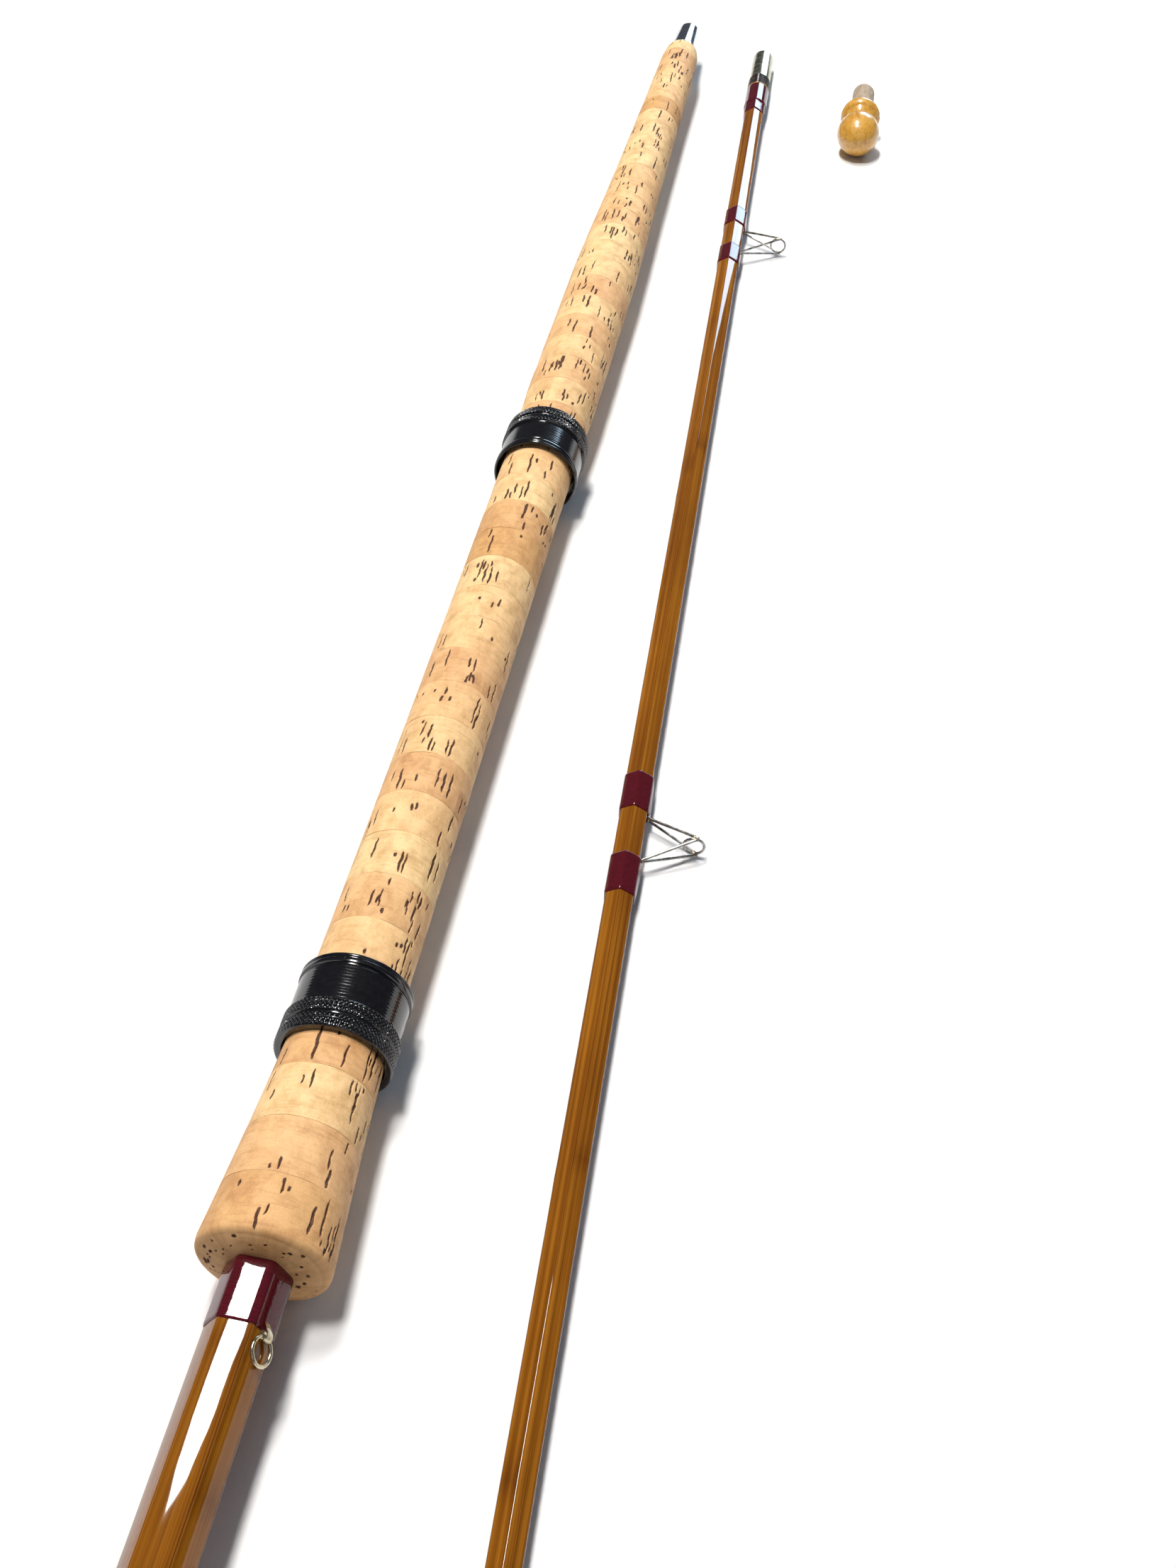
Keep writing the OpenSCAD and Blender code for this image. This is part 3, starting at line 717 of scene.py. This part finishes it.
def sleeve(y0, y1, width, thick, over=None, foot=0, rows=48):
    """Thread and varnish round the cane between y0 and y1. over(y) is the radius of a round tube beneath
    it; foot is +1 or -1 where a guide's foot lies beneath, thinning out towards that end."""
    around = np.linspace(0, 2 * math.pi, WHIP_COLUMNS, endpoint=False)
    made_r, made_y = [], []
    for y in np.linspace(y0, y1, rows):
        under = over(y) if over else 0
        edge = min(y - y0, y1 - y)
        film = thick * (0.42 + 0.58 * math.sqrt(min(1, edge / 0.7)))
        r = np.maximum(width(y) / 2 * soft_hex_distance(around), under) + film
        if foot:
            t = (y - y0) / (y1 - y0) if foot > 0 else (y1 - y) / (y1 - y0)
            across = np.sin(around) * r
            ridge = np.exp(-(across / 1.15) ** 2) * (np.cos(around) > 0)
            r = r + 0.42 * ridge * (1 - t ** 2.5)
        made_r.append(r)
        made_y.append(np.full_like(r, y))
    for y in (y1, y0):
        inner = width(y) / 2 * soft_hex_distance(around)
        made_r.append(np.maximum(inner, over(y) if over else 0) - 0.02)
        made_y.append(np.full_like(inner, y))
    r, y = np.array(made_r), np.array(made_y)
    points = np.stack([r * np.cos(around), y, r * np.sin(around)], -1).reshape(-1, 3)
    grain = np.stack([around * 5 + 0 * y, y, 0 * y], -1).reshape(-1, 3)
    return points, skin(len(r), WHIP_COLUMNS, wrap_rows=True), grain


def whipping(name, sleeves, place, body, slot, look, stands_for):
    points, faces = joined([s[:2] for s in sleeves])
    grain = np.concatenate([s[2] for s in sleeves])
    piece(name, points, faces, place, body, slot, look, [stands_for], {"grain": grain}, crease=50)


def front_whipping():
    whipping("front_thread", [sleeve(-15.5, -NOSE, butt_w, WHIP_T, rows=64)], SIDE, "butt_section",
             "maroon_thread", MAROON, "front_whipping")


def ferrule_whippings():
    """Each runs from its tube down a short step on to the cane."""
    step_run, female_drop, male_drop = 2.2, 0.9, 1.0

    def female(y):
        return FERRULE_R if y < FEMALE_END else FERRULE_R - female_drop * min(1, (y - FEMALE_END) / step_run)

    def male(y):
        return TURNED_R if y > -MALE_LEN else TURNED_R - male_drop * min(1, (-MALE_LEN - y) / step_run)

    whipping("female_thread", [sleeve(FEMALE_END - 22, FEMALE_END + 8, butt_w, WHIP_T, female, rows=80)],
             SIDE, "butt_section", "maroon_thread", MAROON, "female_ferrule_whipping")
    whipping("male_thread", [sleeve(-MALE_LEN - 10, GOLD_END - 0.02, tip_w, WHIP_T, male, rows=80)],
             TIP_SIDE, "tip_section", "maroon_thread", MAROON, "male_ferrule_whipping")
    first = CANE_END + TIP_TUBE_LEN
    whipping("tip_ring_thread", [sleeve(first, first + 9, tip_w, 0.4)],
             TIP_SIDE, "tip_section", "maroon_thread", MAROON, "tip_ring_whipping")


# ---------------------------------------------------------------- guides
FRAME_WIRE = 0.42
EYE_WIRE = 0.4
FOOT_GAP = 0.6
GUIDE_WHIP = 14


def guide(name, y, stand, eye_r, half, width, place, body, stands_for, thread_for):
    """Bridge guide with its two whippings: each foot wire splits and runs to both sides of the eye."""
    shells, braze = [], []
    ring_r = eye_r - EYE_WIRE
    shells.append(ring((stand, y, 0), ring_r, EYE_WIRE))
    for side in (-1, 1):
        root_y = y + side * half
        seat = width(root_y) / 2 + FRAME_WIRE * 0.9
        for up in (-1, 1):
            end = Vector((stand, y + side * 0.75, up * (ring_r + 0.1)))
            path = smooth_path([
                (seat - 0.3, root_y + side * 9, up * 0.34),
                (seat, root_y + side * 1.2, up * 0.36),
                (seat + 0.1, root_y, up * 0.4),
                end,
                end + Vector((1.1, -side * 0.5, up * 0.1)),
            ], 0.9)
            shells.append(tube(path, FRAME_WIRE))
            braze.append(blob((stand + 0.05, y + side * 0.42, up * (ring_r + 0.05)), (0.62, 0.5, 0.55)))
        tongue = [(seat - 0.25 - 0.02 * k, root_y + side * (0.2 + k * 12.4 / 12), 0) for k in range(13)]
        shells.append(tube(tongue, 0.34, flat=lambda k: (2.1 * (1 - 0.045 * k), 0.75 - 0.03 * k)))
        braze.append(blob((seat + 0.1, root_y + side * 0.35, 0), (0.5, 0.95, 0.8)))
    points, faces = joined(shells + braze)
    wires = sum(len(s[1]) for s in shells)
    made = piece(name, points, faces, place, body, "guide_wire", [WIRE, BRAZE], [stands_for], crease=50)
    for k, face in enumerate(made.data.polygons):
        face.material_index = int(k >= wires)
    sleeves = []
    for side in (-1, 1):
        a = y + side * (half + FOOT_GAP)
        b = a + side * GUIDE_WHIP
        sleeves.append(sleeve(min(a, b), max(a, b), width, WHIP_T, foot=side, rows=56))
    whipping(f"{name}_thread", sleeves, place, body, "maroon_thread", MAROON, thread_for)


TIP_GUIDES = [(-198, 19.5, 3.4, 9), (-549, 17.8, 3.3, 8), (-850, 15.5, 3.1, 7.5), (-1090, 13.5, 2.9, 7),
              (-1280, 12, 2.8, 6.5), (-1430, 10.5, 2.7, 6)]


def guides():
    guide("butt_bridge", -560, 22, 4, 10, butt_w, SIDE, "butt_section", "butt_guide", "butt_guide_whippings")
    for k, (y, stand, eye_r, half) in enumerate(TIP_GUIDES, 1):
        guide(f"bridge_{k}", y, stand, eye_r, half, tip_w, TIP_SIDE, "tip_section",
              f"tip_guide_{k}", f"tip_guide_whippings_{k}")


def tip_ring():
    top = -SECTION_LEN
    parts = [ring((3.9, top + 1, 0), 2.2, EYE_WIRE)]
    for up in (-1, 1):
        leg = [(1.55, top + 11, up * 0.5), (2.0, top + 8, up * 0.7), (3.9, top + 1.2, up * 2.25)]
        path = smooth_path(leg, 1)
        parts.append(tube(path, 0.32))
    around = np.linspace(0, 2 * math.pi, 48, endpoint=False)
    line = filleted([
        (0, top), (1.8, top), (1.8, top + 12), (1.36, top + 12), (1.36, top + 2), (0, top + 2),
    ], 0.25)
    r = np.array([p.x for p in line])[:, None]
    y = np.array([p.y for p in line])[:, None]
    body = np.stack([r * np.sin(around), y + 0 * around, r * np.cos(around)], -1).reshape(-1, 3)
    parts.append((body.tolist(), skin(len(line), 48)))
    parts.append(blob((1.9, top + 1, 0), (0.7, 0.7, 0.8)))
    points, faces = joined(parts)
    piece("tip_eye", points, faces, TIP_SIDE, "tip_section", "guide_wire", WIRE, ["tip_ring"], crease=50)


# ---------------------------------------------------------------- keeper
def keeper():
    """The ring hangs in a strip of metal folded round it, whose ends run under the front whipping."""
    pin = SIDE.inverted() @ Vector(joints["keeper_ring_swing"]["pos_m"]) / MM
    loop_r, wire, bend, half_thick, half_wide = 3.0, 0.45, 0.92, 0.17, 1.1
    points, faces = ring((pin.x, pin.y - loop_r, 0), loop_r, wire, axis="X")
    piece("keeper_loop", points, faces, SIDE, "keeper", "nickel_silver", NICKEL, ["keeper_ring"])
    fold = [(pin.x - bend * math.cos(a), pin.y - bend * math.sin(a), 0) for a in np.linspace(0, math.pi, 18)]
    under = butt_w(0) / 2 + half_thick
    path = [(under, pin.y + 10, 0), (under, pin.y + 1.4, 0), *fold,
            (pin.x + bend - 0.1, pin.y + 0.9, 0), (pin.x + 0.1, pin.y + 1.9, 0), (under + 0.4, pin.y + 3, 0)]
    strip, quads = tube(path, half_thick, sides=20, flat=lambda k: (half_wide / half_thick, 1))
    piece("keeper_fold", strip, quads, SIDE, "butt_section", "nickel_silver", NICKEL, ["keeper_tab"])


# ---------------------------------------------------------------- reel bands
BORE_R, KNURL_R, LIP_R, BAND_LEN = 12.65, 14.6, 14.25, 22
KNURL_COUNT = 76


def band_points():
    """A sliding band from its knurled rim, y = 0, to its mouth: a fine lathe outline with turning marks on
    its barrel, whose two rims are cut with crossing grooves."""
    shoulder, lip = 8.45, BAND_LEN - 3.4
    outline = filleted([
        (BORE_R, 0), (KNURL_R - 0.45, 0), (KNURL_R, 0.45), (KNURL_R, 3.6), (KNURL_R - 0.6, 3.85),
        (KNURL_R - 0.6, 4.45), (KNURL_R, 4.8), (KNURL_R, 8), (LIP_R - 0.35, shoulder),
        (LIP_R - 0.35, lip), (LIP_R - 0.62, lip + 0.2), (LIP_R - 0.62, lip + 0.6),
        (LIP_R, lip + 0.8), (LIP_R, BAND_LEN - 1.5), (LIP_R - 0.28, BAND_LEN - 1.35),
        (LIP_R - 0.28, BAND_LEN - 1.05), (LIP_R, BAND_LEN - 0.9), (LIP_R, BAND_LEN - 0.35),
        (LIP_R - 0.4, BAND_LEN), (BORE_R + 0.9, BAND_LEN), (BORE_R + 0.7, BAND_LEN - 0.4),
        (BORE_R + 0.6, 12), (BORE_R, 7),
    ], 0.14, 2)
    knurl_step, barrel_step, plain_step = 0.18, 0.2, 1.2
    fine = [outline[0]]
    for p in outline[1:]:
        least = min(p.x, fine[-1].x)
        length = (p - fine[-1]).length
        on_knurl = least > KNURL_R - 0.3 and p.y < shoulder + 0.55
        size = knurl_step if on_knurl else barrel_step if least > LIP_R - 0.4 and length > 5 else plain_step
        steps = max(1, round(length / size))
        fine += [fine[-1].lerp(p, s / steps) for s in range(1, steps + 1)]
    columns_a_knurl, groove_depth, ripple_depth, ripple_pitch = 8, 0.38, 0.013, 0.9
    columns = KNURL_COUNT * columns_a_knurl
    around = np.linspace(0, 2 * math.pi, columns, endpoint=False)
    r = np.array([p.x for p in fine])[:, None] + 0 * around
    y = np.array([p.y for p in fine])[:, None] + 0 * around
    turn = around * KNURL_COUNT
    slope = KNURL_COUNT / KNURL_R
    one = np.abs(np.sin((turn + y * slope) / 2))
    other = np.abs(np.sin((turn - y * slope) / 2))
    on_rim = np.clip((r - (KNURL_R - 0.12)) / 0.1, 0, 1)
    r = r - on_rim * groove_depth * (1 - np.clip(np.minimum(one, other) * 1.7, 0, 1))
    on_barrel = (y > shoulder + 0.3) & (y < lip - 0.3) & (r > BORE_R + 1)
    r = r + on_barrel * ripple_depth * np.sin(2 * math.pi * y / ripple_pitch + 0.8 * np.sin(y * 2.3))
    points = np.stack([r * np.sin(around), y, r * np.cos(around)], -1).reshape(-1, 3)
    return points, skin(len(fine), columns, wrap_rows=True)


def bands():
    points, faces = band_points()
    front = BUTT @ Matrix.Translation((0, (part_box("reel_band_front")[0].y - CORK_FRONT), 0))
    piece("band_front", points, faces, front, "front_band", "black_band", BAND, ["reel_band_front"])
    rear = BUTT @ Matrix.Translation((0, (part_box("reel_band_rear")[1].y - CORK_FRONT), 0))
    flip = np.array(points) * (1, -1, 1)
    piece("band_rear", flip, faces, rear, "rear_band", "black_band", BAND, ["reel_band_rear"])


# ---------------------------------------------------------------- turned metal and wood
def metal_parts():
    end = BUTT_END
    lathe("cap", [
        (0, CORK_LEN + CAP_SPIGOT), (TURNED_R, CORK_LEN + CAP_SPIGOT), (TURNED_R, CORK_LEN), (6.9, CORK_LEN),
        (6.9, CORK_LEN + 0.7), (5.8, end - 4), (5.3, end - 1.6), (4.8, end - 0.5), (3.7, end), (0, end),
    ], BUTT, "butt_section", "cap_metal", CAP, ["butt_cap"], fillet=0.35)
    wall, neck = FERRULE_R, FERRULE_BORE_R
    lathe("female_tube", [
        (neck, MOUTH_Y + 0.4), (neck + 0.3, MOUTH_Y), (wall, MOUTH_Y), (wall, FEMALE_END - 6),
        (wall - 0.12, FEMALE_END - 5.6), (wall - 0.3, FEMALE_END), (TURNED_R, FEMALE_END),
        (TURNED_R, MOUTH_Y + 34), (neck, MOUTH_Y + 34),
    ], BUTT, "butt_section", "nickel_silver", NICKEL, ["female_ferrule"], fillet=0.08)
    lathe("welt", [
        (wall, MOUTH_Y), (6.1, MOUTH_Y), (6.5, MOUTH_Y + 0.6), (6.5, MOUTH_Y + 4.4), (6.1, MOUTH_Y + 5),
        (wall, MOUTH_Y + 5),
    ], BUTT, "butt_section", "nickel_silver", NICKEL, ["ferrule_welt"], fillet=0.25)
    dome = [(SLIDE_R - SLIDE_DOME * (1 - math.sin(a)), -SLIDE_DOME * (1 - math.cos(a)))
            for a in np.linspace(0, math.pi / 2, 14)]
    lathe("slide", [(0, 0), *dome, (SLIDE_R, -SLIDE_LEN), (STEP_R, -SLIDE_LEN), (STEP_R, -MALE_LEN),
                    (SLIDE_BORE_R, -MALE_LEN), (SLIDE_BORE_R, -1.5), (0, -1.5)],
          TIP, "tip_section", "nickel_silver", NICKEL, ["male_ferrule"], fillet=0.06)
    wraps("dark_turns", DARK_END, -SLIDE_LEN, 0.25, STEP_R, 5.3, DARK_THREAD, "dark_thread",
          "male_ferrule_band")
    wraps("gold_turns", GOLD_END, DARK_END, 0.2, STEP_R, 5.38, GOLD_THREAD, "gold_thread", "gold_tipping")


def wraps(name, y0, y1, pitch, inner, outer, look, slot, stands_for):
    """Turns of thread side by side on a tube, each a real ridge."""
    turns = round((y1 - y0) / pitch)
    ridge = pitch * 0.28
    line = [(inner, y0)]
    for k in range(turns):
        for s in range(5):
            t = (k + s / 5) / turns
            edge = min(1, min(t, 1 - t) * (y1 - y0) / 0.3 + 0.35)
            line.append((inner + (outer - inner) * edge - ridge * (1 - math.sin(math.pi * s / 5)),
                         y0 + (y1 - y0) * t))
    line += [(inner + 0.2, y1), (inner, y1)]
    segments = 96
    around = np.linspace(0, 2 * math.pi, segments, endpoint=False)
    r = np.array([p[0] for p in line])[:, None]
    y = np.array([p[1] for p in line])[:, None] + 0 * around
    points = np.stack([r * np.sin(around), y, r * np.cos(around)], -1).reshape(-1, 3)
    grain = np.stack([around * 5 + 0 * y, y, 0 * y], -1).reshape(-1, 3)
    piece(name, points, skin(len(line), segments, wrap_rows=True), TIP, "tip_section", slot, look,
          [stands_for], {"grain": grain}, crease=80)


def stopper():
    egg_r, half_egg, bead_r, bead_y, spigot, length = 9.6, 11.6, 9.1, 30, 5.1, 58.6
    egg = [(egg_r * math.sin(a), half_egg - half_egg * math.cos(a)) for a in np.linspace(0, 2.35, 40)]
    cove = [(6.0, half_egg * 1.86), (5.75, half_egg * 2.0), (5.85, bead_y - 5.4)]
    bead = [(bead_r - 3 + 3 * math.cos(a), bead_y + 3.2 * math.sin(a)) for a in np.linspace(-1.2, 1.35, 22)]
    bare_y = bead_y + 3.5
    lathe("plug", [*egg, *cove, *bead, (spigot, bare_y), (spigot, length - 2),
                   (spigot - 0.5, length - 0.6), (spigot - 1.5, length), (0, length)],
          STOPPER, "stopper", "boxwood", [BOXWOOD, BARE_WOOD], ["ferrule_stopper"], fillet=0.25,
          pick=lambda at: int(at.y > bare_y))


cork_handle()
cane()
front_whipping()
ferrule_whippings()
guides()
tip_ring()
keeper()
bands()
metal_parts()
stopper()
disc = frame["nodes"]["ferrule_plug_disc"]
disc.data.materials.clear()
disc.data.materials.append(NICKEL)


# ---------------------------------------------------------------- floor, light and camera
def floor():
    size = 12
    mesh = bpy.data.meshes.new("table")
    corners = [(-size, -size, 0), (size, -size, 0), (size, size, 0), (-size, size, 0)]
    mesh.from_pydata(corners, [], [(0, 1, 2, 3)])
    mesh.materials.append(FLOOR)
    made = bpy.data.objects.new("table", mesh)
    bpy.context.scene.collection.objects.link(made)


def panel(name, at, target, width, height, power, colour):
    """Rectangular soft light at a point, facing another."""
    lamp = bpy.data.lights.new(name, "AREA")
    lamp.shape = "RECTANGLE"
    lamp.size, lamp.size_y = width, height
    lamp.energy = power
    lamp.color = colour
    made = bpy.data.objects.new(name, lamp)
    made.location = at
    made.rotation_euler = (Vector(target) - Vector(at)).to_track_quat("-Z", "Y").to_euler()
    bpy.context.scene.collection.objects.link(made)
    return made


def glowing_sheet(name, height, corners, strength):
    """Flat opening above the rod whose reflection lies along the varnish."""
    glow = bpy.data.materials.new(name)
    glow.use_nodes = True
    tree = glow.node_tree
    emission = node(tree, "Emission", {"Color": (1, 0.985, 0.96, 1), "Strength": strength})
    tree.links.new(emission.outputs[0], tree.nodes["Material Output"].inputs["Surface"])
    mesh = bpy.data.meshes.new(name)
    mesh.from_pydata([(x, y, height) for x, y in corners], [], [list(range(len(corners)))])
    mesh.materials.append(glow)
    made = bpy.data.objects.new(name, mesh)
    bpy.context.scene.collection.objects.link(made)


def lights():
    """A bright opening and a soft lamp overhead to the left, a cold window far ahead, a weak fill behind."""
    grip = BUTT.translation
    ceiling = 2.22
    opening = [(-0.53, 1.25), (-0.15, 1.25), (-0.15, 1.03), (-0.20, 0.88), (-0.28, 0.78), (-0.45, 0.74),
               (-0.55, 0.82), (-0.57, 0.89)]
    glowing_sheet("skylight", ceiling, opening, 60)
    panel("lamp", (-0.33, 0.36, ceiling), (-0.04, 0.2, 0), 0.34, 0.34, 36, (1, 0.97, 0.93))
    panel("window", (0.66, 3.7, 1.08), grip + Vector((0, 0.4, 0)), 1.3, 0.9, 32, (0.60, 0.81, 1))
    panel("fill", (0.5, -1.7, 1.5), grip, 1.2, 1.2, 3, (1, 0.95, 0.9))
    world = bpy.data.worlds.new("room")
    bpy.context.scene.world = world
    world.use_nodes = True
    tree = world.node_tree
    up = node(tree, "SeparateXYZ", {0: node(tree, "TexCoord").outputs["Generated"]}).outputs["Z"]
    sky = ramp(tree, math_node(tree, "MULTIPLY_ADD", up, 0.5, 0.5), (0.45, (0.07, 0.075, 0.09)),
               (0.62, (0.07, 0.075, 0.09)), (1, (0.10, 0.105, 0.12)))
    tree.links.new(sky, tree.nodes["Background"].inputs["Color"])
    tree.nodes["Background"].inputs["Strength"].default_value = 1.0


def camera():
    """The view of the layout from above the butt cane, looking towards the cap."""
    lens_px, long_side_px = 2336, 2212
    cork_to_camera = Vector((99.42, -162.98, 337.2)) * MM
    cam = bpy.data.cameras.new("camera")
    cam.sensor_width = 36
    cam.lens = cam.sensor_width * lens_px / long_side_px
    cam.clip_start, cam.clip_end = 0.02, 50
    made = bpy.data.objects.new("camera", cam)
    made.location = (BUTT.translation.x + cork_to_camera.x, CORK_FRONT + cork_to_camera.y, cork_to_camera.z)
    made.rotation_euler = (math.radians(90 - 44.81), 0, math.radians(9.99))
    bpy.context.scene.collection.objects.link(made)
    bpy.context.scene.camera = made


floor()
lights()
camera()
bpy.context.scene.view_settings.view_transform = "Standard"
